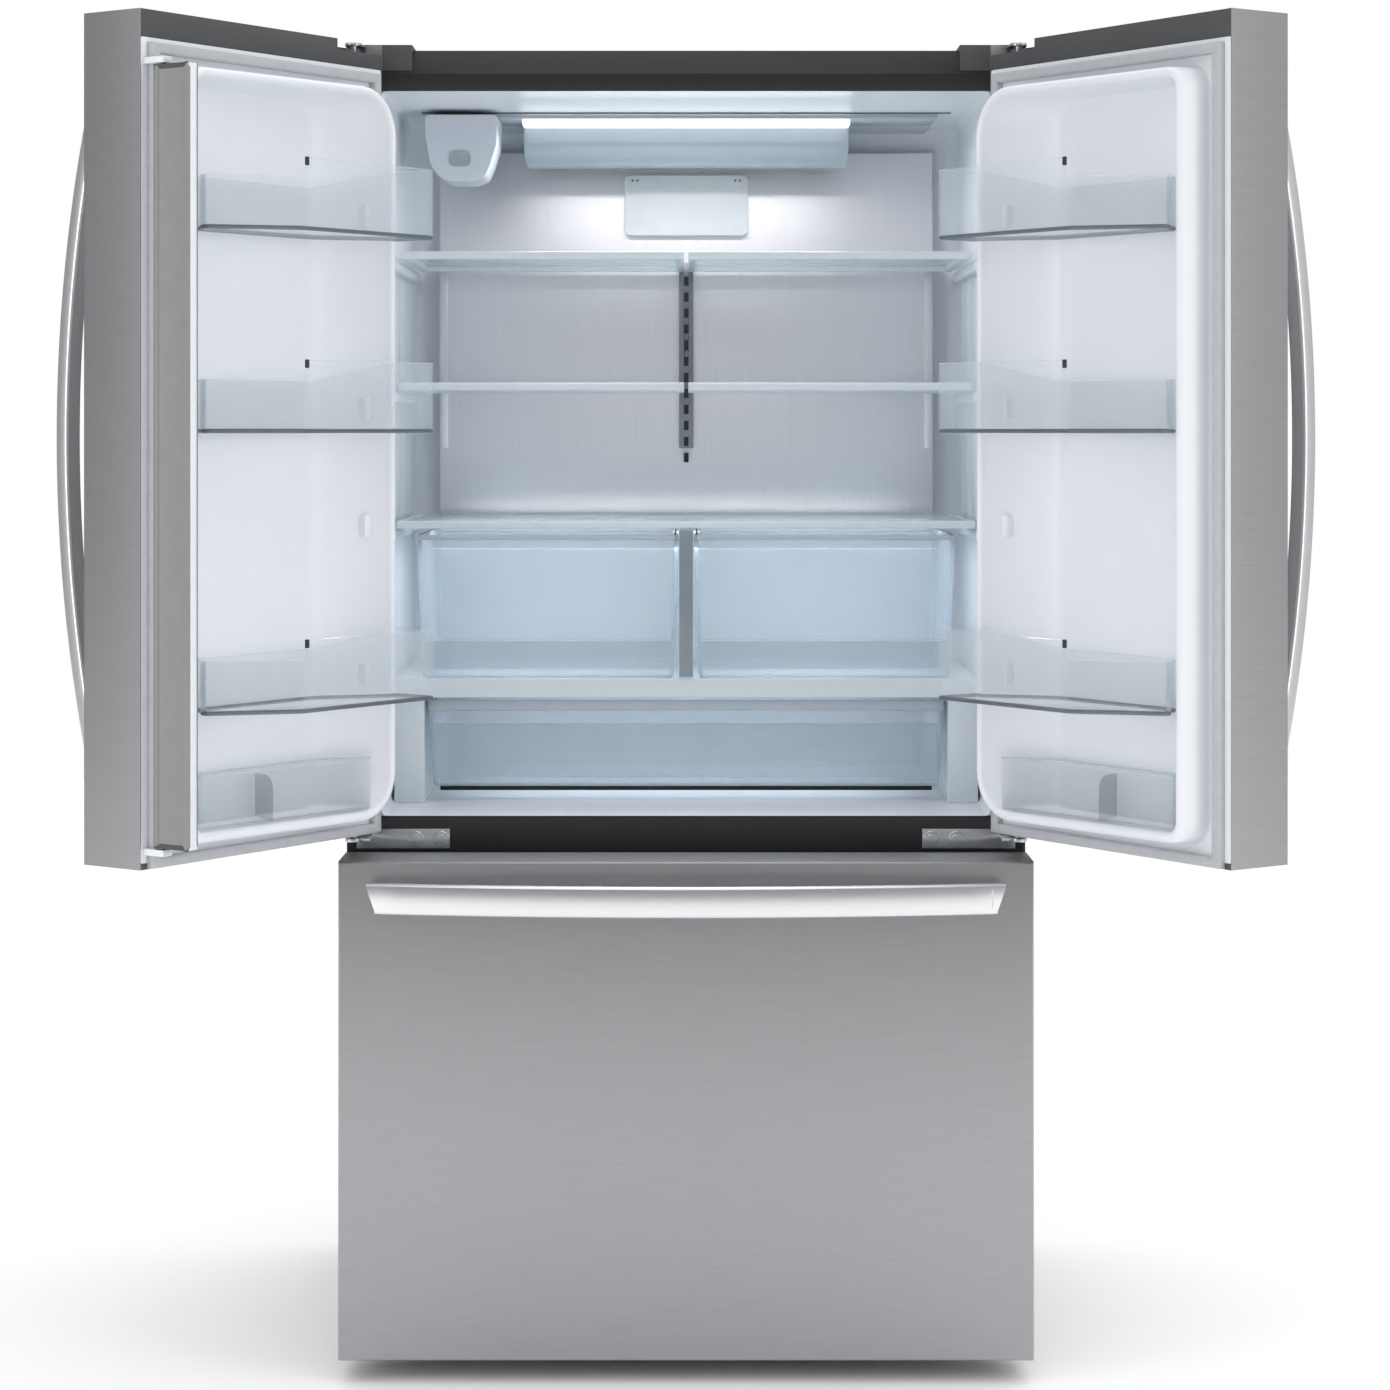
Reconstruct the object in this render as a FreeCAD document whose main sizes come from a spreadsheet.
"""French door refrigerator with a bottom freezer drawer, as a parametric FreeCAD document.

Frame: x = 0 on the centre line, z = 0 on the floor, front towards -Y, and y = 0 in the middle of the depth
that the refrigerator takes with its doors open, which is mid_depth in front of the middle of the case.
The rest pose has both doors open by door_open degrees and every drawer closed. The doors are drawn
closed and then turned about their hinge pins, so that their places follow from the closed cabinet.
"""
import FreeCAD, Part
import os
import re
import Sketcher
from FreeCAD import Placement, Rotation, Vector

doc = FreeCAD.newDocument("refrigerator")
sheet = doc.addObject("Spreadsheet::Sheet", "dims")

SIZES = {
    # cabinet
    "case_width": (908, "outer width of the steel cabinet"),
    "case_depth": (620, "cabinet depth without doors"),
    "case_top": (1752, "top of the cabinet above the floor"),
    "case_bottom": (40, "underside of the cabinet above the floor"),
    "mid_depth": (234, "middle of the case, behind the origin"),
    "steel": (1, "thickness of steel sheet"),
    "plastic": (2, "thickness of a vacuum-formed liner"),
    "clear_wall": (2.5, "thickness of a clear plastic wall"),
    "side_wall": (46, "insulated side wall of the fresh food space"),
    "freezer_side_wall": (58, "insulated side wall of the freezer space"),
    "ceiling_wall": (54, "insulated ceiling of the fresh food space"),
    "fresh_floor": (728, "floor of the fresh food space"),
    "back_wall": (87, "insulated back wall of the fresh food space"),
    "cove": (40, "size of the slanted rear corners of the fresh food space"),
    "middle_wall": (88, "insulated floor between the two spaces"),
    "freezer_floor": (102, "floor of the freezer space"),
    "freezer_step": (330, "height where the freezer space gets deeper"),
    "machine_wall": (48, "insulation in front of the machine compartment"),
    "freezer_back_wall": (120, "insulated back wall of the freezer space"),
    "machine_depth": (202, "depth of the machine compartment"),
    "machine_top": (290, "top of the machine compartment"),
    "trim": (2, "thickness of the front trims"),
    # doors
    "door_open": (124.35, "degrees that the doors stand open at rest"),
    "door_thick": (96, "thickness of a door"),
    "seal_gap": (14, "gap between a door and the cabinet front"),
    "seal_thick": (11.5, "thickness of a door seal"),
    "seal_width": (13, "width of a door seal"),
    "leaf_gap": (4.5, "gap between the two doors"),
    "door_drop": (14, "doors reach down past the fresh food floor"),
    "cap_top_height": (34, "height of the top end cap of a door"),
    "cap_bottom_height": (8, "height of the bottom end cap of a door"),
    "edge": (4, "bevel on the outer edges of a door"),
    "pivot_inset": (14, "hinge pin axis, in from the side of the case"),
    "pivot_depth": (60, "hinge pin axis, behind the front of the doors"),
    "pin_radius": (5, "radius of a hinge pin"),
    "pin_clearance": (0.06, "radial clearance of a pin in its bore"),
    "hinge_plate_length": (60, "width of a top hinge's plate"),
    "hinge_plate_depth": (70, "depth of a top hinge's plate"),
    "hinge_steel": (4, "thickness of a top hinge's plate"),
    "arm_half": (11, "half width of a hinge arm"),
    "middle_steel": (5, "thickness of a middle hinge's arm"),
    "middle_plate_far": (138, "end of a middle hinge's plate, in from the side"),
    "middle_plate_height": (26, "height of a middle hinge's plate"),
    "screw_near": (93, "first hinge screw, in from the side"),
    "screw_far": (127, "second hinge screw, in from the side"),
    "cover_rise_over": (7, "top hinge cover, above the case"),
    "notch_length": (88, "length of the notch for the hinge arm in a door's top cap"),
    "notch_width": (62, "width of that notch"),
    "notch_depth": (14, "depth of that notch"),
    "tub_hinge": (70, "height of the raised liner ring at the hinge side"),
    "tub_free": (46, "height of the raised liner ring at the free side"),
    "tub_wall": (14, "width of the raised liner ring"),
    "tub_inset": (50, "raised ring, in from the hinge side of the door"),
    "tub_free_inset": (38, "raised ring, in from the free side of the door"),
    "tub_end_inset": (20, "raised ring, in from the ends of the liner face"),
    "tub_slope": (86, "width of the slanted wall beside the hinge side ring"),
    "tub_back": (9, "back of the door's hollow, above the face of the door"),
    # door bins
    "bin_top_drop": (266, "underside of the top door bin, below the door's top"),
    "bin_middle_drop": (513, "underside of the middle door bin, below the door's top"),
    "bin_low_rise": (185, "underside of the low door bin, above the door's bottom"),
    "bin_height": (90, "height of a door bin"),
    "bin_low_rim": (66, "height of the lower rim of a door bin"),
    "bin_reach": (142, "how far a bin stands out from the door's face"),
    "bin_inset": (62, "end of a bin, in from the hinge side"),
    "bin_bend_inset": (139.75, "bend in the front of a bin, in from the free side"),
    "bin_free_inset": (47.75, "end of a bin, in from the free side"),
    "bin_lift": (20, "how far a bin lifts to come off"),
    "rack_height": (73, "height of the fixed rack at the bottom of a door"),
    "fit": (6, "gap between a bin or rack and the wall behind it"),
    # handles
    "grip_top_drop": (123, "top end of a door handle, below the door's top"),
    "grip_rise": (126, "bottom end of a door handle, above the door's bottom"),
    "grip_centre": (52, "middle of a door handle, in from the free edge"),
    "grip_width": (24, "width of a door handle bar"),
    "grip_thick": (22, "thickness of a door handle bar"),
    "grip_stand_end": (38, "how far the end of a door handle stands off"),
    "grip_stand_middle": (88, "how far the middle of a door handle stands off"),
    "post": (30, "length of the foot at each end of a handle"),
    "pull_inset": (39, "end of the drawer handle, in from the side of the case"),
    "pull_drop": (24, "top of the drawer handle, below the top of the drawer front"),
    "pull_width": (41, "height of the drawer handle's bar"),
    "pull_thick": (11, "thickness of the drawer handle's bar"),
    "pull_stand_end": (27, "how far the end of the drawer handle stands off"),
    "pull_stand_middle": (64, "how far the middle of the drawer handle stands off"),
    # flap
    "flap_width": (57, "width of the folding flap between the doors"),
    "flap_thick": (18, "thickness of the flap"),
    "flap_edge": (5, "outer face of the folded flap, in from the door's free edge"),
    "flap_gap": (14, "ends of the flap, in from the ceiling and the floor"),
    # inside
    "shelf_side_gap": (13, "gap between a shelf deck and the side wall"),
    "shelf_recess": (130, "front of the shelves, behind the front of the case"),
    "shelf_back_gap": (41, "gap between the shelves and the back wall"),
    "shelf_frame": (11, "width and height of a shelf's frame"),
    "shelf_upper_drop": (218, "underside of the upper shelves, below the ceiling"),
    "shelf_middle_drop": (399, "underside of the middle shelves, below the ceiling"),
    "cover_rise": (380, "underside of the crisper cover, above the floor of the fresh food space"),
    "glass": (4, "thickness of shelf glass"),
    "panel_side_gap": (38, "gap between the metal rear panel and the side wall"),
    "panel_depth": (23, "depth of the rear panel with its air channel"),
    "panel_drop": (38, "top of the rear panel, below the ceiling"),
    "rail_width": (21, "width of a shelf rail"),
    "filter_half": (92, "half width of the air filter cover"),
    "filter_height": (90, "height of the air filter cover"),
    "filter_drop": (73, "top of the air filter cover, below the ceiling"),
    "filter_thick": (14, "thickness of the air filter cover"),
    "lamp_recess": (306, "front of the lamp strip, behind the front of the case"),
    "lamp_depth": (32, "depth of the lamp strip"),
    "lamp_side_gap": (135, "end of the lamp strip, in from the edge of the rear panel"),
    "duct_drop": (68, "underside of the air duct, below the ceiling"),
    "panel_skin": (8, "thickness of the ceiling panel"),
    "crisper_rise": (173, "shelf that the crispers slide on, above the floor of the fresh food space"),
    "crisper_side_gap": (22.5, "gap between a crisper and the edge of the deck"),
    "crisper_depth": (346, "depth of a crisper"),
    "crisper_height": (198, "height of a crisper"),
    "divider": (20, "thickness of the divider between the crispers"),
    "pantry_side_gap": (50, "gap between the pantry drawer and the side wall"),
    "pantry_depth": (330, "depth of the pantry drawer"),
    "pantry_rise": (22, "underside of the pantry drawer, above the floor"),
    "pantry_height": (120, "height of the pantry drawer"),
    # freezer drawer
    "front_gap": (33, "gap between the doors and the freezer drawer's front"),
    "front_bottom": (30, "bottom of the freezer drawer's front"),
    "basket_side_gap": (34, "gap between the freezer basket and the side wall"),
    "basket_z": (124, "underside of the freezer basket"),
    "basket_height": (206, "height of the freezer basket"),
    "tray_height": (90, "height of the sliding tray above the basket"),
    "tray_depth": (330, "depth of the sliding tray"),
    "slide_z": (212, "underside of the drawer slides"),
    "slide_height": (26, "height of the drawer slides"),
    # machine parts and feet
    "foot_inset": (54, "levelling foot, in from the side of the case"),
    "foot_recess": (48, "levelling foot, behind the front of the case"),
    "foot_radius": (20, "radius of a levelling foot"),
    "stem_radius": (6, "radius of a levelling screw"),
    "roller_radius": (19, "radius of a rear roller"),
    "roller_recess": (60, "axle of the rear rollers, in front of the back of the case"),
    "fan_radius": (62, "radius of the condenser fan"),
    "cold_fan_radius": (42, "radius of the evaporator fan"),
    "compressor_radius": (78, "radius of the compressor"),
    "compressor_height": (130, "height of the compressor"),
    "condenser_pitch": (26, "spacing of the condenser's plates"),
    "evaporator_pitch": (40, "spacing of the evaporator's plates"),
    "louvre_pitch": (24, "spacing of the louvres in the machine cover"),
    "louvre_height": (8, "height of a louvre"),
    "running": (0.5, "clearance beside a sliding piece"),
}

# places that follow from the sizes above
DERIVED = {
    "side": "(case_width / 2)",
    "case_front": "(mid_depth - case_depth / 2)",
    "case_back": "(mid_depth + case_depth / 2)",
    "door_face": "(case_front - seal_gap)",
    "door_front": "(door_face - door_thick)",
    "leaf": "(side - leaf_gap / 2)",
    "pivot_x": "(pivot_inset - side)",
    "pivot_y": "(door_front + pivot_depth)",
    "fresh_half": "(side - side_wall)",
    "fresh_ceiling": "(case_top - ceiling_wall)",
    "fresh_back": "(case_back - back_wall)",
    "freezer_half": "(side - freezer_side_wall)",
    "freezer_ceiling": "(fresh_floor - middle_wall)",
    "freezer_back_high": "(case_back - freezer_back_wall)",
    "freezer_back_low": "(machine_front - machine_wall)",
    "machine_front": "(case_back - machine_depth)",
    "door_top": "(case_top + 1)",
    "door_bottom": "(fresh_floor - door_drop)",
    "face_top": "(door_top - cap_top_height)",
    "face_bottom": "(door_bottom + cap_bottom_height)",
    "bin_top_z": "(door_top - bin_top_drop)",
    "bin_middle_z": "(door_top - bin_middle_drop)",
    "bin_low_z": "(door_bottom + bin_low_rise)",
    "bin_bend": "(leaf - bin_bend_inset)",
    "bin_end": "(leaf - bin_free_inset)",
    "grip_top": "(door_top - grip_top_drop)",
    "grip_bottom": "(door_bottom + grip_rise)",
    "flap_top": "(fresh_ceiling - flap_gap)",
    "flap_bottom": "(fresh_floor + flap_gap)",
    "flap_axis_u": "(leaf - flap_edge - flap_thick / 2)",
    "flap_axis_w": "(door_thick + seal_gap + 3 + flap_thick / 2)",
    "shelf_half": "(fresh_half - shelf_side_gap)",
    "shelf_front": "(case_front + shelf_recess)",
    "shelf_back": "(fresh_back - shelf_back_gap)",
    "shelf_upper_z": "(fresh_ceiling - shelf_upper_drop)",
    "shelf_middle_z": "(fresh_ceiling - shelf_middle_drop)",
    "cover_z": "(fresh_floor + cover_rise)",
    "panel_half": "(fresh_half - panel_side_gap)",
    "panel_face": "(fresh_back - panel_depth)",
    "panel_top": "(fresh_ceiling - panel_drop)",
    "crisper_floor": "(fresh_floor + crisper_rise)",
    "crisper_width": "(shelf_half - divider / 2 - running - crisper_side_gap)",
    "pantry_half": "(fresh_half - pantry_side_gap)",
    "pantry_z": "(fresh_floor + pantry_rise)",
    "front_top": "(door_bottom - front_gap)",
    "pull_half": "(side - pull_inset)",
    "pull_top": "(front_top - pull_drop)",
    "pull_bottom": "(pull_top - pull_width)",
    "basket_half": "(freezer_half - basket_side_gap)",
    "foot_x": "(side - foot_inset)",
    "foot_y": "(case_front + foot_recess)",
    "roller_y": "(case_back - roller_recess)",
    "lamp_half": "(panel_half - lamp_side_gap)",
    "lamp_front": "(case_front + lamp_recess)",
    "lamp_back": "(lamp_front + lamp_depth)",
    "duct_back": "(fresh_back - 73)",
    "duct_low": "(fresh_ceiling - duct_drop)",
    "panel_low": "(fresh_ceiling - panel_skin)",
    "dispenser_left": "(38 - fresh_half)",
}

for row, (alias, (value, note)) in enumerate(SIZES.items(), 1):
    sheet.set(f"A{row}", note)
    sheet.set(f"B{row}", str(value))
    sheet.setAlias(f"B{row}", alias)
doc.recompute()

NODES = []


def bind(text):
    """Spells out derived names and points the rest at the sheet's cells."""
    text = str(text)
    while any(word in DERIVED for word in re.findall(r"[a-z_]+", text)):
        text = re.sub(r"[a-z_]+", lambda found: DERIVED.get(found[0], found[0]), text)
    return re.sub(r"[a-z_]+", lambda found: "dims." + found[0] if found[0] in SIZES else found[0], text)


def value_of(text):
    return float(sheet.evalExpression(bind(text)))


def node(item, name):
    """Makes an object one of the sub-parts that are written out."""
    item.Label = name
    NODES.append(item)
    return item


def move(item, x, y, z):
    for axis, text in zip("xyz", (x, y, z)):
        item.setExpression(f"Placement.Base.{axis}", bind(text))
    return item


def box(x, y, z, name="block"):
    """A box between two bounds on each axis."""
    item = doc.addObject("Part::Box", name)
    for size, (low, high) in zip(("Length", "Width", "Height"), (x, y, z)):
        item.setExpression(size, bind(f"({high}) - ({low})"))
    return move(item, x[0], y[0], z[0])


TURNS = {"x": Rotation(Vector(0, 1, 0), 90), "y": Rotation(Vector(1, 0, 0), -90), "z": Rotation()}


def rod(axis, start, radius, length, name="rod"):
    """A cylinder that starts at a point and runs along +X, +Y or +Z."""
    item = doc.addObject("Part::Cylinder", name)
    item.Placement = Placement(Vector(), TURNS[axis])
    item.setExpression("Radius", bind(radius))
    item.setExpression("Height", bind(length))
    return move(item, *start)


def cut(base, *tools):
    for tool in tools:
        step = doc.addObject("Part::Cut", "cut")
        step.Base = base
        step.Tool = tool
        base = step
    return base


def fuse(*parts):
    step = doc.addObject("Part::MultiFuse", "joined")
    step.Shapes = list(parts)
    return step


def group(*parts):
    """Separate solids that share one sub-part."""
    step = doc.addObject("Part::Compound", "group")
    step.Links = list(parts)
    return step


def mirrored(source):
    step = doc.addObject("Part::Mirroring", "mirrored")
    step.Source = source
    step.Normal = Vector(1, 0, 0)
    return step


def both(source):
    """A piece and its mirror image about the centre plane, as one group."""
    return group(source, mirrored(source))


def body(name):
    return doc.addObject("PartDesign::Body", name)


PLANES = {"xy": "XY_Plane", "xz": "XZ_Plane", "yz": "YZ_Plane"}


def outline(owner, plane, points, level, arcs=()):
    """A closed sketch through points; the edge after each index in arcs is an arc with that radius."""
    sketch = owner.newObject("Sketcher::SketchObject", "outline")
    base = [item for item in owner.Origin.OriginFeatures if item.Role == PLANES[plane]][0]
    sketch.AttachmentSupport = [(base, "")]
    sketch.MapMode = "FlatFace"
    sketch.setExpression("AttachmentOffset.Base.z", bind(level))
    places = [Vector(value_of(a), value_of(b), 0) for a, b in points]
    radii = dict(arcs)
    count = len(points)
    for index, start in enumerate(places):
        end = places[(index + 1) % count]
        if index in radii:
            chord = end - start
            radius = value_of(radii[index])
            rise = abs(radius) - (radius * radius - chord.Length ** 2 / 4) ** 0.5
            away = Vector(chord.y, -chord.x, 0).normalize() * (rise if radius > 0 else -rise)
            sketch.addGeometry(Part.Arc(start, (start + end) * 0.5 + away, end), False)
        else:
            sketch.addGeometry(Part.LineSegment(start, end), False)
    # an arc that bulges the other way runs backwards, so each edge's ends are found by place
    ends = []
    for index, start in enumerate(places):
        first = 1 if sketch.getPoint(index, 1).distanceToPoint(start) < 1e-6 else 2
        ends.append((first, 3 - first))
    for index in range(count):
        follower = (index + 1) % count
        sketch.addConstraint(Sketcher.Constraint("Coincident", index, ends[index][1], follower,
                                                 ends[follower][0]))
    for index, (a, b) in enumerate(points):
        for kind, text in (("DistanceX", a), ("DistanceY", b)):
            place = value_of(text)
            number = sketch.addConstraint(Sketcher.Constraint(kind, -1, 1, index, ends[index][0], place))
            sketch.setExpression(f"Constraints[{number}]", bind(text))
    for index, text in radii.items():
        number = sketch.addConstraint(Sketcher.Constraint("Radius", index, abs(value_of(text))))
        sketch.setExpression(f"Constraints[{number}]", bind(f"abs({text})"))
    return sketch


def extrude(owner, plane, points, low, high, arcs=(), hollow=False):
    """Pads an outline between two levels along its plane's normal, or pockets it when hollow."""
    kind = "PartDesign::Pocket" if hollow else "PartDesign::Pad"
    # the sketch plane XZ faces -Y, so its levels are counted the other way
    start, end = (f"-({high})", f"-({low})") if plane == "xz" else (low, high)
    sketch = outline(owner, plane, points, start, arcs)
    feature = owner.newObject(kind, "extrusion")
    feature.Profile = sketch
    feature.setExpression("Length", bind(f"({end}) - ({start})"))
    feature.Reversed = hollow
    owner.Tip = feature
    return feature


def rectangle(x0, x1, y0, y1):
    return [(x0, y0), (x1, y0), (x1, y1), (x0, y1)]


def shelled(owner, wall="clear_wall"):
    """Hollows a body from its top face, as a moulded tub is."""
    doc.recompute()
    solid = owner.Tip
    faces = solid.Shape.Faces
    top = max(range(len(faces)), key=lambda index: faces[index].CenterOfMass.z)
    feature = owner.newObject("PartDesign::Thickness", "hollow")
    feature.Base = (solid, [f"Face{top + 1}"])
    feature.Mode = 0
    feature.Join = 1
    feature.Reversed = True
    feature.setExpression("Value", bind(wall))
    owner.Tip = feature
    return owner


def swing(item):
    """Turns a piece of the closed left door about the hinge pin to where it rests, open."""
    cosine = "cos(door_open * 1 deg)"
    sine = "sin(door_open * 1 deg)"
    item.Placement = Placement(Vector(), Rotation(Vector(0, 0, 1), -value_of("door_open")))
    item.setExpression("Placement.Rotation.Angle", bind("(360 - door_open) * 1 deg"))
    return move(item, f"pivot_x - (pivot_x * {cosine} + pivot_y * {sine})",
                f"pivot_y - (pivot_y * {cosine} - pivot_x * {sine})", 0)


def across(text):
    """A place on the left door, counted from its hinge side."""
    return f"({text}) - side"


def inward(text):
    """A place on a door, counted from its outer face."""
    return f"door_front + ({text})"


# ---------------------------------------------------------------- cabinet


def cabinet_shell():
    outer = box(("-side", "side"), ("case_front", "case_back"), ("case_bottom", "case_top"))
    inner = box(("steel - side", "side - steel"), ("case_front + steel", "case_back - steel"),
                ("case_bottom + steel", "case_top - steel"))
    fresh = box(("-fresh_half - plastic", "fresh_half + plastic"), ("case_front - 1", "case_front + 2"),
                ("fresh_floor - plastic", "fresh_ceiling + plastic"))
    frozen = box(("-freezer_half - plastic", "freezer_half + plastic"), ("case_front - 1", "case_front + 2"),
                 ("freezer_floor - plastic", "freezer_ceiling + plastic"))
    rear = box(("25 - side", "side - 25"), ("case_back - 2", "case_back + 1"),
               ("case_bottom + 12", "machine_top"))
    wells = both(rod("z", ("foot_x", "foot_y", "case_bottom - 1"), "stem_radius + 1", 3))
    shell = cut(outer, inner, fresh, frozen, rear, wells)
    lug = box(("side - 102", "side - 98"), ("roller_y - 12", "roller_y + 12"), ("8", "case_bottom"))
    eye = rod("x", ("side - 103", "roller_y", "roller_radius"), "pin_radius + pin_clearance", 6)
    node(fuse(shell, both(cut(lug, eye))), "cabinet_shell")


def freezer_profile(grow):
    """Outline of the freezer space, seen from the side; it steps back above the machine compartment."""
    return [("case_front - 5", f"freezer_floor - {grow}"),
            (f"freezer_back_low + {grow}", f"freezer_floor - {grow}"),
            (f"freezer_back_low + {grow}", f"freezer_step - {grow}"),
            (f"freezer_back_high + {grow}", f"freezer_step - {grow}"),
            (f"freezer_back_high + {grow}", f"freezer_ceiling + {grow}"),
            ("case_front - 5", f"freezer_ceiling + {grow}")]


def insulation_foam():
    foam = body("foam")
    extrude(foam, "xy", rectangle("steel - side", "side - steel", "case_front + steel", "case_back - steel"),
            "case_bottom + steel", "case_top - steel")
    extrude(foam, "xy", rectangle("-fresh_half - plastic", "fresh_half + plastic", "case_front - 5",
                                  "fresh_back + plastic"),
            "fresh_floor - plastic", "fresh_ceiling + plastic", hollow=True)
    extrude(foam, "yz", freezer_profile("plastic"), "-freezer_half - plastic", "freezer_half + plastic",
            hollow=True)
    extrude(foam, "xy", rectangle("25 - side", "side - 25", "machine_front", "case_back + 5"),
            "case_bottom - 5", "machine_top", hollow=True)
    wells = both(rod("z", ("foot_x", "foot_y", "case_bottom - 1"), "stem_radius + 1", 40))
    node(cut(foam, wells), "insulation_foam")


def fresh_food_liner():
    liner = body("fresh_liner")
    extrude(liner, "xy", rectangle("-fresh_half - plastic", "fresh_half + plastic", "case_front",
                                   "fresh_back + plastic"),
            "fresh_floor - plastic", "fresh_ceiling + plastic")
    hollow = [("-fresh_half", "case_front - 5"), ("fresh_half", "case_front - 5"),
              ("fresh_half", "fresh_back - cove"), ("fresh_half - cove + 4", "fresh_back"),
              ("cove - 4 - fresh_half", "fresh_back"), ("-fresh_half", "fresh_back - cove")]
    extrude(liner, "xy", hollow, "fresh_floor", "fresh_ceiling", hollow=True)
    node(liner, "fresh_food_liner")


def freezer_liner():
    liner = body("frozen_liner")
    outer = freezer_profile("plastic")
    outer[0] = ("case_front", outer[0][1])
    outer[5] = ("case_front", outer[5][1])
    extrude(liner, "yz", outer, "-freezer_half - plastic", "freezer_half + plastic")
    extrude(liner, "yz", freezer_profile("0"), "-freezer_half", "freezer_half", hollow=True)
    node(liner, "freezer_liner")


def front_trims():
    node(box(("-side", "side"), ("case_front - trim", "case_front"), ("fresh_ceiling", "case_top"), "trim"),
         "top_front_trim")
    node(box(("-side", "side"), ("case_front - trim", "case_front"),
             ("freezer_ceiling + plastic", "fresh_floor"),
             "rail"), "center_cross_rail")


def hinge_brackets():
    """Top brackets lie on the case with an arm to the pin; middle ones are screwed to the cross rail."""
    top_plate = box(("4 - side", "4 + hinge_plate_length - side"),
                    ("case_front + 4", "case_front + 4 + hinge_plate_depth"),
                    ("case_top", "case_top + hinge_steel"))
    top_arm = box(("pivot_x - arm_half", "pivot_x + arm_half"), ("pivot_y", "case_front + 4"),
                  ("case_top", "case_top + hinge_steel"))
    top_end = rod("z", ("pivot_x", "pivot_y", "case_top"), "arm_half", "hinge_steel")
    top_pin = rod("z", ("pivot_x", "pivot_y", "case_top - 38"), "pin_radius", 39)
    top = fuse(top_plate, top_arm, top_end, top_pin)
    plate = box(("14 - side", "middle_plate_far - side"), ("case_front - trim - 3", "case_front - trim"),
                ("fresh_floor - 17 - middle_plate_height", "fresh_floor - 17"))
    arm = box(("pivot_x - arm_half", "pivot_x + 2 * arm_half"), ("pivot_y", "case_front - trim - 1"),
              ("door_bottom - 14", "door_bottom - 14 + middle_steel"))
    end = rod("z", ("pivot_x", "pivot_y", "door_bottom - 14"), "arm_half", "middle_steel")
    pin = rod("z", ("pivot_x", "pivot_y", "door_bottom - 10"), "pin_radius", 26)
    middle = fuse(plate, arm, end, pin)
    node(group(top, mirrored(top), middle, mirrored(middle)), "hinge_brackets")
    heads = []
    for place in ("screw_near", "screw_far"):
        head = doc.addObject("Part::Prism", "hex")
        head.Polygon = 6
        head.Circumradius = 7
        head.Height = 5
        head.Placement = Placement(Vector(), Rotation(Vector(1, 0, 0), 90))
        move(head, f"{place} - side", "case_front - trim - 3", "fresh_floor - 30")
        heads += [head, mirrored(head)]
    node(group(*heads), "hinge_screws")


def hinge_covers():
    outer = box(("18 - side", "88 - side"), ("case_front - 8", "case_front + 84"),
                ("case_top - 27", "case_top + cover_rise_over"))
    case = box(("17 - side", "89 - side"), ("case_front - trim - 0.3", "case_front + 85"),
               ("case_top - 28", "case_top"))
    room = box(("17 - side", "66 - side"), ("case_front - trim - 0.4", "case_front + 76"),
               ("case_top - 1", "case_top + 4.5"))
    slot = box(("17 - side", "pivot_x + 12"), ("case_front - 9", "case_front"),
               ("case_top - 1", "case_top + 4.5"))
    node(both(cut(outer, case, room, slot)), "hinge_covers")


# ---------------------------------------------------------------- fresh food space


def rear_air_panel():
    plate = box(("-panel_half", "panel_half"), ("panel_face", "fresh_back"), ("cover_z + 4", "panel_top"))
    hollow = box(("12 - panel_half", "panel_half - 12"), ("panel_face + 3", "fresh_back + 1"),
                 ("cover_z + 16", "panel_top - 12"))
    node(cut(plate, hollow), "rear_air_panel")


def ceiling_pieces():
    """Ceiling panel, the lamp strip at its front, and the curved clear air duct behind the lamp."""
    panel = box(("10 - panel_half", "panel_half - 10"), ("lamp_front - 10", "fresh_back"),
                ("panel_low", "fresh_ceiling"))
    duct = body("duct")
    profile = [("lamp_back", "panel_low"), ("lamp_back + 10", "duct_low + 20"),
               ("lamp_back + 64", "duct_low"),
               ("duct_back", "duct_low"), ("duct_back", "panel_low")]
    extrude(duct, "yz", profile, "-lamp_half", "lamp_half", arcs=[(1, "-90")])
    node(group(panel, duct), "ceiling_duct")
    node(box(("-lamp_half", "lamp_half"), ("lamp_front", "lamp_back"),
             ("panel_low - 10", "panel_low"), "lens"), "lamp_lens")


def water_dispenser():
    housing = body("housing")
    steps = [(0, 8), (2, 30), (20, 88), (36, 102), (78, 102), (93, 90), (102, 60), (104, 8)]
    face = [(f"dispenser_left + {x}", f"fresh_ceiling - {drop}") for x, drop in steps]
    extrude(housing, "xz", face, "lamp_front - 66", "lamp_front + 44")
    bezel = box(("dispenser_left + 34", "dispenser_left + 66"), ("lamp_front - 67", "lamp_front - 58"),
                ("fresh_ceiling - 82", "fresh_ceiling - 58"))
    node(cut(housing, bezel), "dispenser_housing")
    node(box(("dispenser_left + 35", "dispenser_left + 65"), ("lamp_front - 68", "lamp_front - 62"),
             ("fresh_ceiling - 81", "fresh_ceiling - 59"), "button"), "dispenser_button")


def air_filter_cover():
    cover = body("filter_cover")
    extrude(cover, "xz",
            rectangle("-filter_half", "filter_half", "fresh_ceiling - filter_drop - filter_height",
                      "fresh_ceiling - filter_drop"),
            "panel_face - filter_thick", "panel_face")
    doc.recompute()
    plate = cover.Tip
    edges = [f"Edge{number}" for number, edge in enumerate(plate.Shape.Edges, 1)
             if edge.Length < 20 and abs(edge.tangentAt(0).y) > 0.9]
    rounding = cover.newObject("PartDesign::Fillet", "corners")
    rounding.Base = (plate, edges)
    rounding.Radius = 9
    cover.Tip = rounding
    node(cover, "air_filter_cover")


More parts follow.
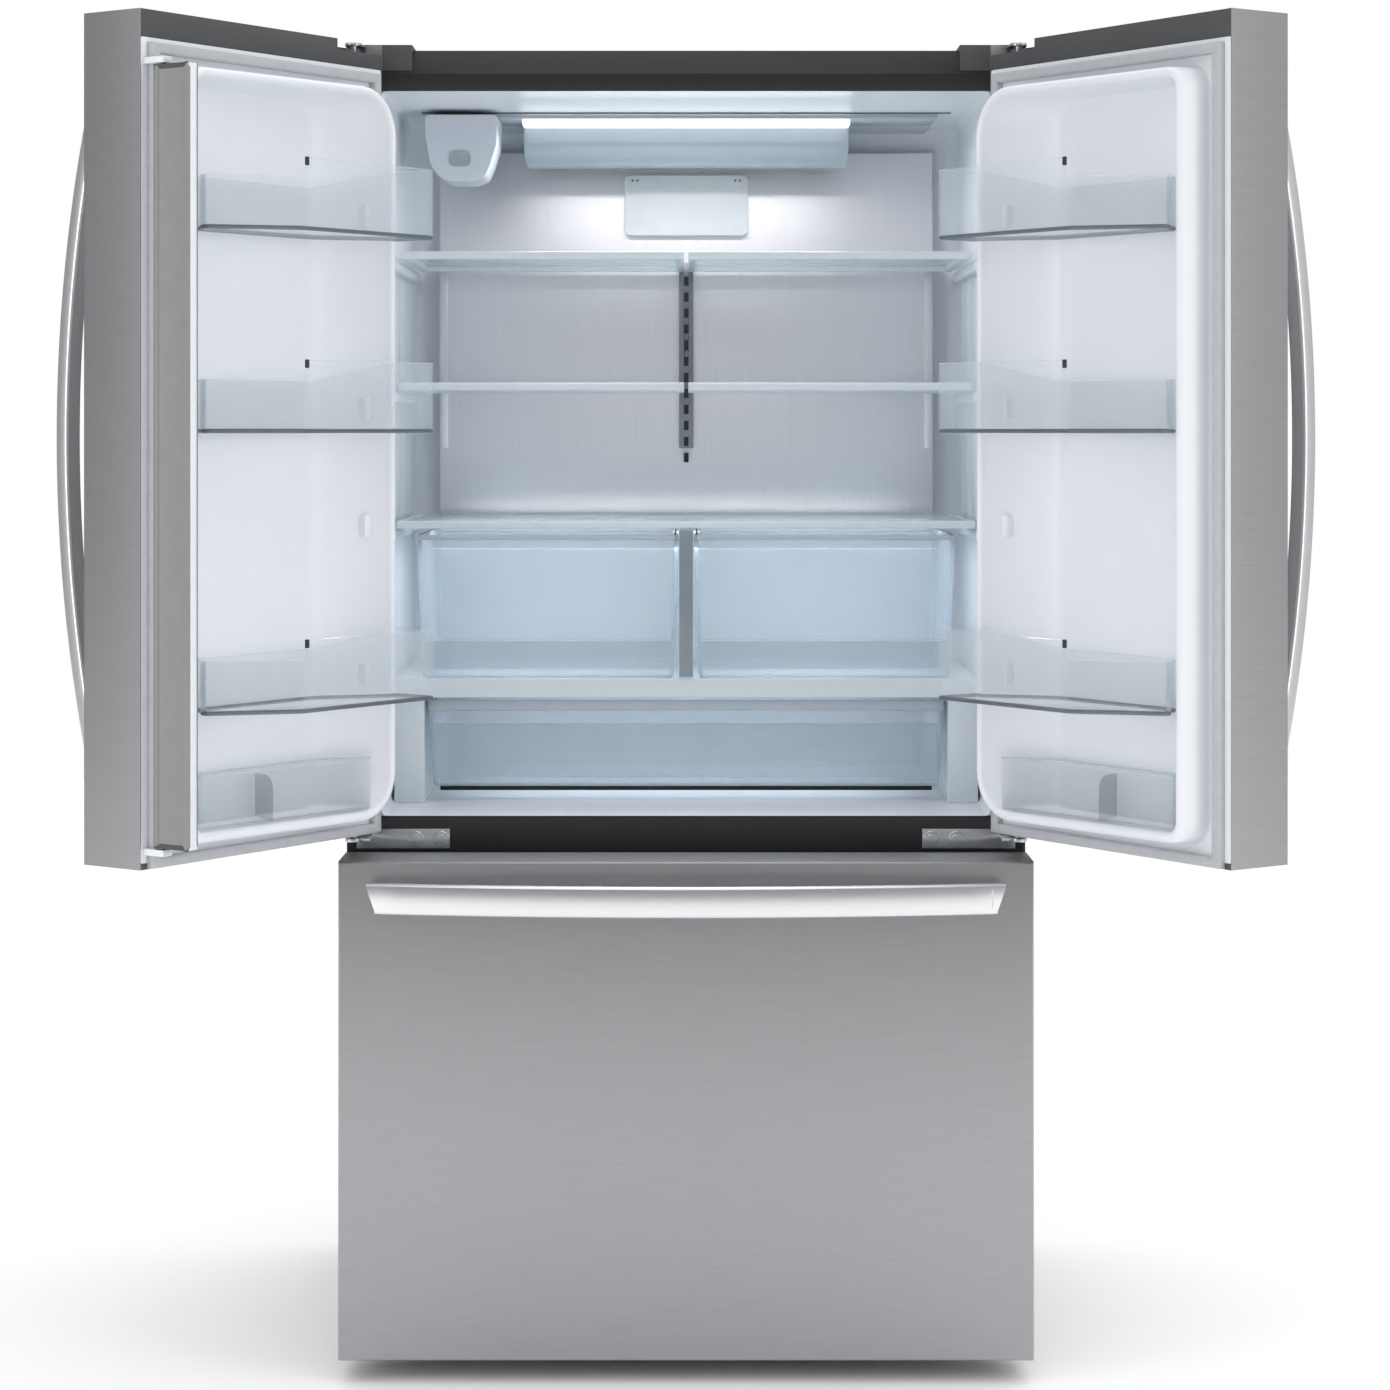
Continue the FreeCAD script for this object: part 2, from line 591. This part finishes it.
def shelf_rails():
    low, high = "shelf_middle_z - 82", "shelf_upper_z + 14"
    middle = box(("-rail_width / 2", "rail_width / 2"), ("panel_face - 10", "panel_face"), (low, high))
    slots = box(("-3", "3"), ("panel_face - 11", "panel_face - 6"),
                ("shelf_middle_z + 50", "shelf_middle_z + 90"))
    side = box(("panel_half - 14", "panel_half - 2"), ("panel_face - 10", "panel_face"), (low, high))
    node(group(cut(middle, slots), side, mirrored(side)), "shelf_rails")


def shelf(level, x0, x1, y1):
    """A frame and the glass that drops into it."""
    ring = box((x0, x1), ("shelf_front", y1), (level, f"{level} + shelf_frame"))
    hole = box((f"({x0}) + shelf_frame", f"({x1}) - shelf_frame"),
               ("shelf_front + shelf_frame", f"({y1}) - shelf_frame"),
               (f"{level} - 1", f"{level} + shelf_frame + 1"))
    pane = box((f"({x0}) + shelf_frame", f"({x1}) - shelf_frame"),
               ("shelf_front + shelf_frame", f"({y1}) - shelf_frame"),
               (f"{level} + shelf_frame - glass", f"{level} + shelf_frame"))
    return cut(ring, hole), pane


def shelves():
    frames = []
    panes = []
    for level in ("shelf_upper_z", "shelf_middle_z"):
        for x0, x1 in (("-shelf_half", "-3"), ("3", "shelf_half")):
            ring, pane = shelf(level, x0, x1, "shelf_back")
            frames.append(ring)
            panes.append(pane)
    ring, pane = shelf("cover_z", "-shelf_half - 4", "shelf_half + 4", "shelf_back")
    node(group(*frames, ring), "shelf_frames")
    node(group(*panes, pane), "glass_shelves")


def crisper_frame():
    """Carrier of the crispers: deck, front rail, divider and two side boxes beside the pantry drawer."""
    deck = box(("-shelf_half - 9", "shelf_half + 9"), ("shelf_front + 4", "shelf_back"),
               ("crisper_floor - 8", "crisper_floor"))
    rail = box(("-shelf_half - 9", "shelf_half + 9"), ("shelf_front + 4", "shelf_front + 14"),
               ("crisper_floor - 26", "crisper_floor"))
    wall = box(("-divider / 2", "divider / 2"), ("shelf_front + 4", "shelf_back"),
               ("crisper_floor - 1", "cover_z"))
    side = box(("pantry_half + 4", "shelf_half + 9"), ("shelf_front + 14", "shelf_back"),
               ("fresh_floor", "crisper_floor - 7"))
    node(fuse(deck, rail, wall, side, mirrored(side)), "crisper_frame")


def crispers():
    tub = body("crisper")
    low = "divider / 2 + running"
    extrude(tub, "xy", rectangle(low, f"{low} + crisper_width", "shelf_front + 6",
                                 "shelf_front + 6 + crisper_depth"),
            "crisper_floor + running", "crisper_floor + running + crisper_height")
    node(shelled(tub), "crisper_right")
    node(mirrored(tub), "crisper_left")


def pantry_drawer():
    tub = body("pantry")
    extrude(tub, "xy", rectangle("-pantry_half", "pantry_half", "shelf_front + 18",
                                 "shelf_front + 18 + pantry_depth"),
            "pantry_z", "pantry_z + pantry_height")
    node(shelled(tub), "pantry_drawer")


# ---------------------------------------------------------------- doors, drawn closed on the left


def hinge_notch(owner):
    """Room over a door's top corner for the arm of the hinge bracket."""
    notch = rectangle(across("-1"), across("notch_length"), inward("door_thick - notch_width"), raised("1"))
    extrude(owner, "xy", notch, "door_top - notch_depth", "door_top + 1", hollow=True)


def door_skin():
    """Steel wrap: the front and both sides, bevelled at the outer edges."""
    skin = body("door_skin")
    near, far = across("0"), across("leaf")
    points = [(near, "door_face"), (near, inward("edge")), (across("edge"), "door_front"),
              (across("leaf - edge"), "door_front"), (far, inward("edge")), (far, "door_face"),
              (across("leaf - steel"), "door_face"), (across("leaf - steel"), inward("edge + 0.4")),
              (across("leaf - edge - 0.4"), inward("steel")), (across("edge + 0.4"), inward("steel")),
              (across("steel"), inward("edge + 0.4")), (across("steel"), "door_face")]
    extrude(skin, "xy", points, "door_bottom", "door_top")
    hinge_notch(skin)
    return swing(skin)


def door_slab(owner, low, high):
    """Everything inside the steel wrap between two heights."""
    points = [(across("steel"), "door_face"), (across("steel"), inward("edge + 0.4")),
              (across("edge + 0.4"), inward("steel")), (across("leaf - edge - 0.4"), inward("steel")),
              (across("leaf - steel"), inward("edge + 0.4")), (across("leaf - steel"), "door_face")]
    extrude(owner, "xy", points, low, high)


def raised(text):
    """A place on a door, counted inwards from its face on the cabinet's side."""
    return inward(f"door_thick + ({text})")


def door_liner(flap_lugs):
    """Foamed core with the white tub: a raised ring around a hollow whose hinge side wall slants."""
    core = body("door_core")
    door_slab(core, "face_bottom", "face_top")
    low, high = "face_bottom + tub_end_inset", "face_top - tub_end_inset - 12"
    free = "leaf - tub_free_inset"
    ring = [(across("tub_inset"), raised("-1")), (across(free), raised("-1")),
            (across(free), raised("tub_free")),
            (across("tub_inset + 2"), raised("tub_hinge"))]
    extrude(core, "xy", ring, low, high)
    hollow = [(across("tub_inset + tub_wall"), raised("tub_hinge + 5")),
              (across("tub_inset + tub_wall"), raised("tub_hinge - 2")),
              (across("tub_inset + tub_wall + tub_slope"), raised("tub_back")),
              (across(f"{free} - tub_wall - 8"), raised("tub_back")),
              (across(f"{free} - tub_wall"), raised("tub_free - 3")),
              (across(f"{free} - tub_wall"), raised("tub_hinge + 5"))]
    extrude(core, "xy", hollow, f"{low} + tub_wall", f"{high} - tub_wall", hollow=True)
    if flap_lugs:
        # each lug rises beside the seal and reaches over it to the flap's pin
        lug = [(across("leaf - 11.5"), raised("-1")), (across("leaf - flap_edge"), raised("-1")),
               (across("leaf - flap_edge"), inward("flap_axis_w + 7")),
               (across("flap_axis_u - 7"), inward("flap_axis_w + 7")),
               (across("flap_axis_u - 7"), raised("seal_thick + 1")),
               (across("leaf - 11.5"), raised("seal_thick + 1"))]
        extrude(core, "xy", lug, "flap_top + 2", "flap_top + 10")
        extrude(core, "xy", lug, "flap_bottom - 10", "flap_bottom - 2")
    return core


def door_seal():
    outer = box((across("12"), across("leaf - 12")), ("door_face", raised("seal_thick")),
                ("door_bottom + 1", "fresh_ceiling + seal_width + 2"))
    inner = box((across("12 + seal_width"), across("leaf - 12 - seal_width")),
                (raised("-1"), raised("seal_thick + 1")),
                ("door_bottom + 1 + seal_width", "fresh_ceiling + 2"))
    return cut(outer, inner)


def door_caps():
    top = body("cap_top")
    door_slab(top, "face_top", "door_top")
    hinge_notch(top)
    bottom = body("cap_bottom")
    door_slab(bottom, "door_bottom", "face_bottom")
    pin = rod("z", ("pivot_x", "pivot_y", "door_bottom - 1"), "pin_radius + pin_clearance", "door_top")
    return group(cut(top, pin), cut(bottom, pin))


def bow_radius(length, stand_end, stand_middle):
    """Radius of an arc through two ends and a middle that stands further out."""
    rise = f"(({stand_middle}) - ({stand_end}))"
    return f"((({length}) / 2) ^ 2 + {rise} ^ 2) / (2 * {rise})"


def door_handle():
    """Bowed bar with a foot at each end, drawn from the side."""
    grip = body("grip")
    centre = "leaf - grip_centre"
    radius = bow_radius("grip_top - grip_bottom", "grip_stand_end", "grip_stand_middle")
    points = [(inward("-grip_stand_end"), "grip_bottom"), (inward("-grip_stand_end"), "grip_top"),
              (inward("grip_thick - grip_stand_end"), "grip_top"),
              (inward("grip_thick - grip_stand_end"), "grip_bottom")]
    extrude(grip, "yz", points, across(f"{centre} - grip_width / 2"), across(f"{centre} + grip_width / 2"),
            arcs=[(0, f"-({radius})"), (2, f"{radius} - grip_thick")])
    for low, high in (("grip_bottom", "grip_bottom + post"), ("grip_top - post", "grip_top")):
        foot = rectangle(inward("2 - grip_stand_end"), "door_front", low, high)
        extrude(grip, "yz", foot, across(f"{centre} - grip_width / 2 + 3"),
                across(f"{centre} + grip_width / 2 - 3"))
    return swing(grip)


def door_bin(level):
    """Clear bin: tall and deep at the hinge side, lower where its front slants back."""
    tub = body("bin")
    slope_foot = "tub_inset + tub_wall + tub_slope + fit"
    back = "tub_back + fit"
    points = [(across("bin_inset"), raised("tub_hinge + fit")),
              (across("tub_inset + tub_wall + 10"), raised("tub_hinge + fit")),
              (across(slope_foot), raised(back)), (across("bin_end - 28"), raised(back)),
              (across("bin_end - 18"), raised("tub_free + fit")),
              (across("bin_end"), raised("tub_free + fit")),
              (across("bin_end"), raised("tub_free + fit + 12")),
              (across("bin_bend"), raised("bin_reach - 4")),
              (across("bin_inset"), raised("bin_reach"))]
    extrude(tub, "xy", points, level, f"{level} + bin_height")
    shelled(tub)
    lower = rectangle(across("bin_bend - 6"), across("bin_end + 5"), raised("0"), raised("bin_reach + 5"))
    extrude(tub, "xy", lower, f"{level} + bin_low_rim", f"{level} + bin_height + 5", hollow=True)
    return swing(tub)


def door_rack():
    """Fixed clear rack at the bottom of the door's hollow, with a divider."""
    tub = body("rack")
    low = "face_bottom + tub_end_inset + tub_wall + running"
    slope_foot = "tub_inset + tub_wall + tub_slope + fit"
    points = [(across("tub_inset + tub_wall + 24"), raised("tub_hinge - 9")),
              (across(slope_foot), raised("tub_back + fit")),
              (across("leaf - tub_free_inset - tub_wall - 14"), raised("tub_back + fit")),
              (across("leaf - tub_free_inset - tub_wall - 8"), raised("tub_free - 6"))]
    extrude(tub, "xy", points, low, f"{low} + rack_height")
    shelled(tub)
    wall = rectangle(across("262"), across("262 + clear_wall"), raised("tub_back + fit + 1"),
                     raised("tub_free - 2"))
    extrude(tub, "xy", wall, f"{low} + 1", f"{low} + rack_height - 10")
    return swing(tub)


def mullion_flap():
    """Folding strip that closes the gap between the doors, folded back along the door's side at rest."""
    flap = body("flap")
    u0, u1 = "flap_axis_u - flap_thick / 2", "flap_axis_u + flap_thick / 2"
    w0, w1 = "flap_axis_w - flap_thick / 2", "flap_axis_w - flap_thick / 2 + flap_width"
    points = [(across(f"{u0} + 4"), inward(w0)), (across(f"{u1} - 4"), inward(w0)),
              (across(u1), inward(f"{w0} + 4")),
              (across(u1), inward(w1)), (across(u0), inward(w1)), (across(u0), inward(f"{w0} + 4"))]
    extrude(flap, "xy", points, "flap_bottom", "flap_top")
    pins = [rod("z", (across("flap_axis_u"), inward("flap_axis_w"), z), 3, 7)
            for z in ("flap_top - 1", "flap_bottom - 6")]
    node(swing(fuse(flap, *pins)), "mullion_flap")


def doors():
    lugs = [rod("z", (across("flap_axis_u"), inward("flap_axis_w"), z), "3 + pin_clearance", 12)
            for z in ("flap_top", "flap_bottom - 12")]
    shaft = rod("z", ("pivot_x", "pivot_y", "case_top - 40"), "pin_radius + pin_clearance", 20)
    foot = rod("z", ("pivot_x", "pivot_y", "door_bottom"), "pin_radius + pin_clearance", 18)
    left_core = swing(cut(door_liner(True), shaft, foot, *lugs))
    right_core = swing(cut(door_liner(False), shaft, foot))
    pieces = {"skin": door_skin(), "seal": swing(door_seal()), "caps": swing(door_caps()),
              "handle": door_handle(),
              "bin_top": door_bin("bin_top_z"), "bin_middle": door_bin("bin_middle_z"),
              "bin_low": door_bin("bin_low_z"), "rack": door_rack()}
    node(left_core, "door_left_liner")
    node(mirrored(right_core), "door_right_liner")
    for name, piece in pieces.items():
        node(piece, f"door_left_{name}")
        node(mirrored(piece), f"door_right_{name}")


# ---------------------------------------------------------------- freezer drawer


def freezer_front():
    outer = box(("-side", "side"), ("door_front", "door_face"), ("front_bottom", "front_top"))
    inner = box(("steel - side", "side - steel"), ("door_front + steel", "door_face + 1"),
                ("front_bottom + steel", "front_top - steel"))
    node(cut(outer, inner), "drawer_skin")
    core = box(("steel - side", "side - steel"), ("door_front + steel", "door_face"),
               ("front_bottom + steel", "front_top - steel"))
    boss = box(("12 - freezer_half", "freezer_half - 12"), ("door_face - 1", "door_face + 24"),
               ("freezer_floor + 12", "freezer_ceiling - 14"))
    node(fuse(core, boss), "drawer_liner")
    ring = box(("-freezer_half - seal_width - 6", "freezer_half + seal_width + 6"),
               ("door_face", "door_face + seal_thick"),
               ("freezer_floor - seal_width - 6", "freezer_ceiling + seal_width + 8"))
    hole = box(("-freezer_half - 4", "freezer_half + 4"), ("door_face - 1", "door_face + seal_thick + 1"),
               ("freezer_floor - 4", "freezer_ceiling + 5"))
    node(cut(ring, hole), "drawer_seal")


def drawer_handle():
    """Wide bar that bows outwards, drawn from above."""
    pull = body("pull")
    radius = bow_radius("2 * pull_half", "pull_stand_end", "pull_stand_middle")
    outer, inner = inward("-pull_stand_end"), inward("pull_thick - pull_stand_end")
    points = [("-pull_half", outer), ("pull_half", outer), ("pull_half", inner), ("-pull_half", inner)]
    extrude(pull, "xy", points, "pull_bottom", "pull_top",
            arcs=[(0, f"{radius}"), (2, f"pull_thick - ({radius})")])
    for x0, x1 in (("-pull_half", "post - pull_half"), ("pull_half - post", "pull_half")):
        foot = rectangle(x0, x1, inward("2 - pull_stand_end"), "door_front")
        extrude(pull, "xy", foot, "pull_bottom + 5", "pull_top - 5")
    node(pull, "drawer_handle")


def drawer_inside():
    fixed = box(("freezer_half - 12", "freezer_half"), ("case_front + 20", "freezer_back_low - 8"),
                ("slide_z - 2", "slide_z + slide_height + 2"))
    node(both(fixed), "freezer_rails")
    slide = box(("freezer_half - 12 - running - 11", "freezer_half - 12 - running"),
                ("door_face + 24", "freezer_back_low - 14"),
                ("slide_z", "slide_z + slide_height"))
    node(both(slide), "drawer_slides")
    basket = body("basket")
    front = "door_face + 26"
    extrude(basket, "xy", rectangle("-basket_half", "basket_half", front, "freezer_back_low - 20"),
            "basket_z", "basket_z + basket_height")
    node(shelled(basket), "freezer_basket")
    tray = body("tray")
    low = "basket_z + basket_height + running"
    extrude(tray, "xy", rectangle("-basket_half", "basket_half", front, f"{front} + tray_depth"),
            low, f"{low} + tray_height")
    node(shelled(tray), "freezer_tray")


# ---------------------------------------------------------------- cooling machine, feet and rollers


def fan(axis, centre, radius, thick):
    """Hub with five flat blades set at a pitch."""
    hub = rod(axis, centre, f"{radius} * 0.28", thick)
    blades = []
    for index in range(5):
        blade = doc.addObject("Part::Box", "blade")
        blade.setExpression("Length", bind(f"{radius} * 0.8"))
        blade.setExpression("Width", bind(f"{radius} * 0.5"))
        blade.Height = 2
        turn = Rotation(Vector(0, 0, 1), 72 * index)
        pitch = Rotation(Vector(1, 0, 0), 24)
        blade.Placement = Placement(Vector(), TURNS[axis] * turn * pitch)
        x, y, z = centre
        middle = f"{thick} * 0.3"
        shift = TURNS[axis].multVec(turn.multVec(Vector(value_of(f"{radius} * 0.2"), 0, 0)))
        shift = shift + TURNS[axis].multVec(Vector(0, 0, 1)) * value_of(middle)
        move(blade, f"({x}) + {shift.x}", f"({y}) + {shift.y}", f"({z}) + {shift.z}")
        blades.append(blade)
    return fuse(hub, *blades)


def coil(x, y, z, rows, gap, tube):
    """Rows of tube through a stack of upright plates."""
    x0, x1 = x
    y0, y1 = y
    z0, z1 = z
    plates = [box((f"({x0}) + {gap} * {index}", f"({x0}) + {gap} * {index} + 1.5"), y, z)
              for index in range(1, int((value_of(x1) - value_of(x0)) / value_of(gap)))]
    tubes = [rod("x", (x0, f"(({y0}) + ({y1})) / 2", f"({z0}) + (({z1}) - ({z0})) * {(row + 0.5) / rows}"),
                 tube,
                 f"({x1}) - ({x0})") for row in range(rows)]
    return fuse(*tubes, *plates)


def cooling():
    pot = fuse(rod("z", (200, "case_back - 100", "case_bottom + 22"), "compressor_radius",
                   "compressor_height"),
               box(("120", "280"), ("case_back - 160", "case_back - 40"),
                   ("case_bottom + 12", "case_bottom + 24")))
    node(pot, "compressor")
    node(coil(("-320", "-60"), ("machine_front + 60", "case_back - 40"),
              ("case_bottom + 30", "machine_top - 60"), 6, "condenser_pitch", 4),
         "condenser_coil")
    node(fan("x", ("-20", "case_back - 100", "case_bottom + 110"), "fan_radius", 24), "condenser_fan")
    node(coil(("-300", "300"), ("freezer_back_high - 55", "freezer_back_high - 6"),
              ("freezer_step + 16", "freezer_ceiling - 96"),
              5, "evaporator_pitch", 4), "evaporator_coil")
    node(fan("y", ("0", "freezer_back_high - 40", "freezer_ceiling - 50"), "cold_fan_radius", 16),
         "evaporator_fan")
    cover = box(("1 - freezer_half", "freezer_half - 1"),
                ("freezer_back_high - 70", "freezer_back_high - 62"),
                ("freezer_step + 1", "freezer_ceiling - 1"))
    slots = [box((f"{place} - 60", f"{place} + 60"), ("freezer_back_high - 71", "freezer_back_high - 61"),
                 (f"freezer_ceiling - {drop} - 4", f"freezer_ceiling - {drop} + 4"))
             for place in (-220, 0, 220) for drop in (40, 60)]
    node(cut(cover, *slots), "evaporator_cover")
    plate = box(("27 - side", "side - 27"), ("case_back - 2.5", "case_back - 0.5"),
                ("case_bottom + 14", "machine_top - 2"))
    louvres = [box(("-320", "-20"), ("case_back - 3", "case_back"),
                   (f"case_bottom + {rise}", f"case_bottom + {rise} + louvre_height"))
               for rise in range(50, 220, round(value_of("louvre_pitch")))]
    hole = box(("330", "370"), ("case_back - 3", "case_back"), ("machine_top - 60", "machine_top - 30"))
    node(cut(plate, *louvres, hole), "machine_cover")
    flange = box(("322", "378"), ("case_back - 0.5", "case_back + 2"),
                 ("machine_top - 66", "machine_top - 24"))
    well = box(("330.2", "369.8"), ("case_back - 26", "case_back"),
               ("machine_top - 59.8", "machine_top - 30.2"))
    mouth = box(("334", "366"), ("case_back - 20", "case_back + 3"), ("machine_top - 56", "machine_top - 34"))
    node(cut(fuse(flange, well), mouth), "power_inlet")


def feet():
    disc = rod("z", ("foot_x", "foot_y", "0"), "foot_radius", 10)
    stem = rod("z", ("foot_x", "foot_y", "9"), "stem_radius", "case_bottom + 22")
    foot = fuse(disc, stem)
    node(foot, "foot_right")
    node(mirrored(foot), "foot_left")
    axle = rod("x", ("110 - side", "roller_y", "roller_radius"), "pin_radius", "2 * side - 220")
    far = rod("x", ("side - 112", "roller_y", "roller_radius"), "pin_radius", 40)
    wheel = rod("x", ("side - 96", "roller_y", "roller_radius"), "roller_radius", 22)
    node(fuse(axle, far, mirrored(far), wheel, mirrored(wheel)), "rear_rollers")


def check_document():
    """Stops if any feature failed or any sub-part isn't a sound solid."""
    failed = [item.Label for item in doc.Objects if {"Invalid", "Error"} & set(item.State)]
    if failed:
        raise SystemExit(f"features that failed: {failed}")
    for item in NODES:
        shape = item.Shape
        if shape.isNull() or not shape.isValid() or not shape.Solids:
            raise SystemExit(f"{item.Label} isn't a sound solid")
        print(item.Label, len(shape.Solids), [round(edge) for edge in (
            shape.BoundBox.XMin, shape.BoundBox.XMax, shape.BoundBox.YMin, shape.BoundBox.YMax,
            shape.BoundBox.ZMin, shape.BoundBox.ZMax)])


for build in (cabinet_shell, insulation_foam, fresh_food_liner, freezer_liner, front_trims, hinge_brackets,
              hinge_covers, rear_air_panel, ceiling_pieces, water_dispenser, air_filter_cover, shelf_rails,
              shelves, crisper_frame, crispers, pantry_drawer, doors, mullion_flap, freezer_front,
              drawer_handle, drawer_inside, cooling, feet):
    build()

doc.recompute()
check_document()
os.makedirs("parts", exist_ok=True)
for item in NODES:
    item.Shape.exportStep(f"parts/{item.Label}.step")
print(len(NODES), "sub-parts")
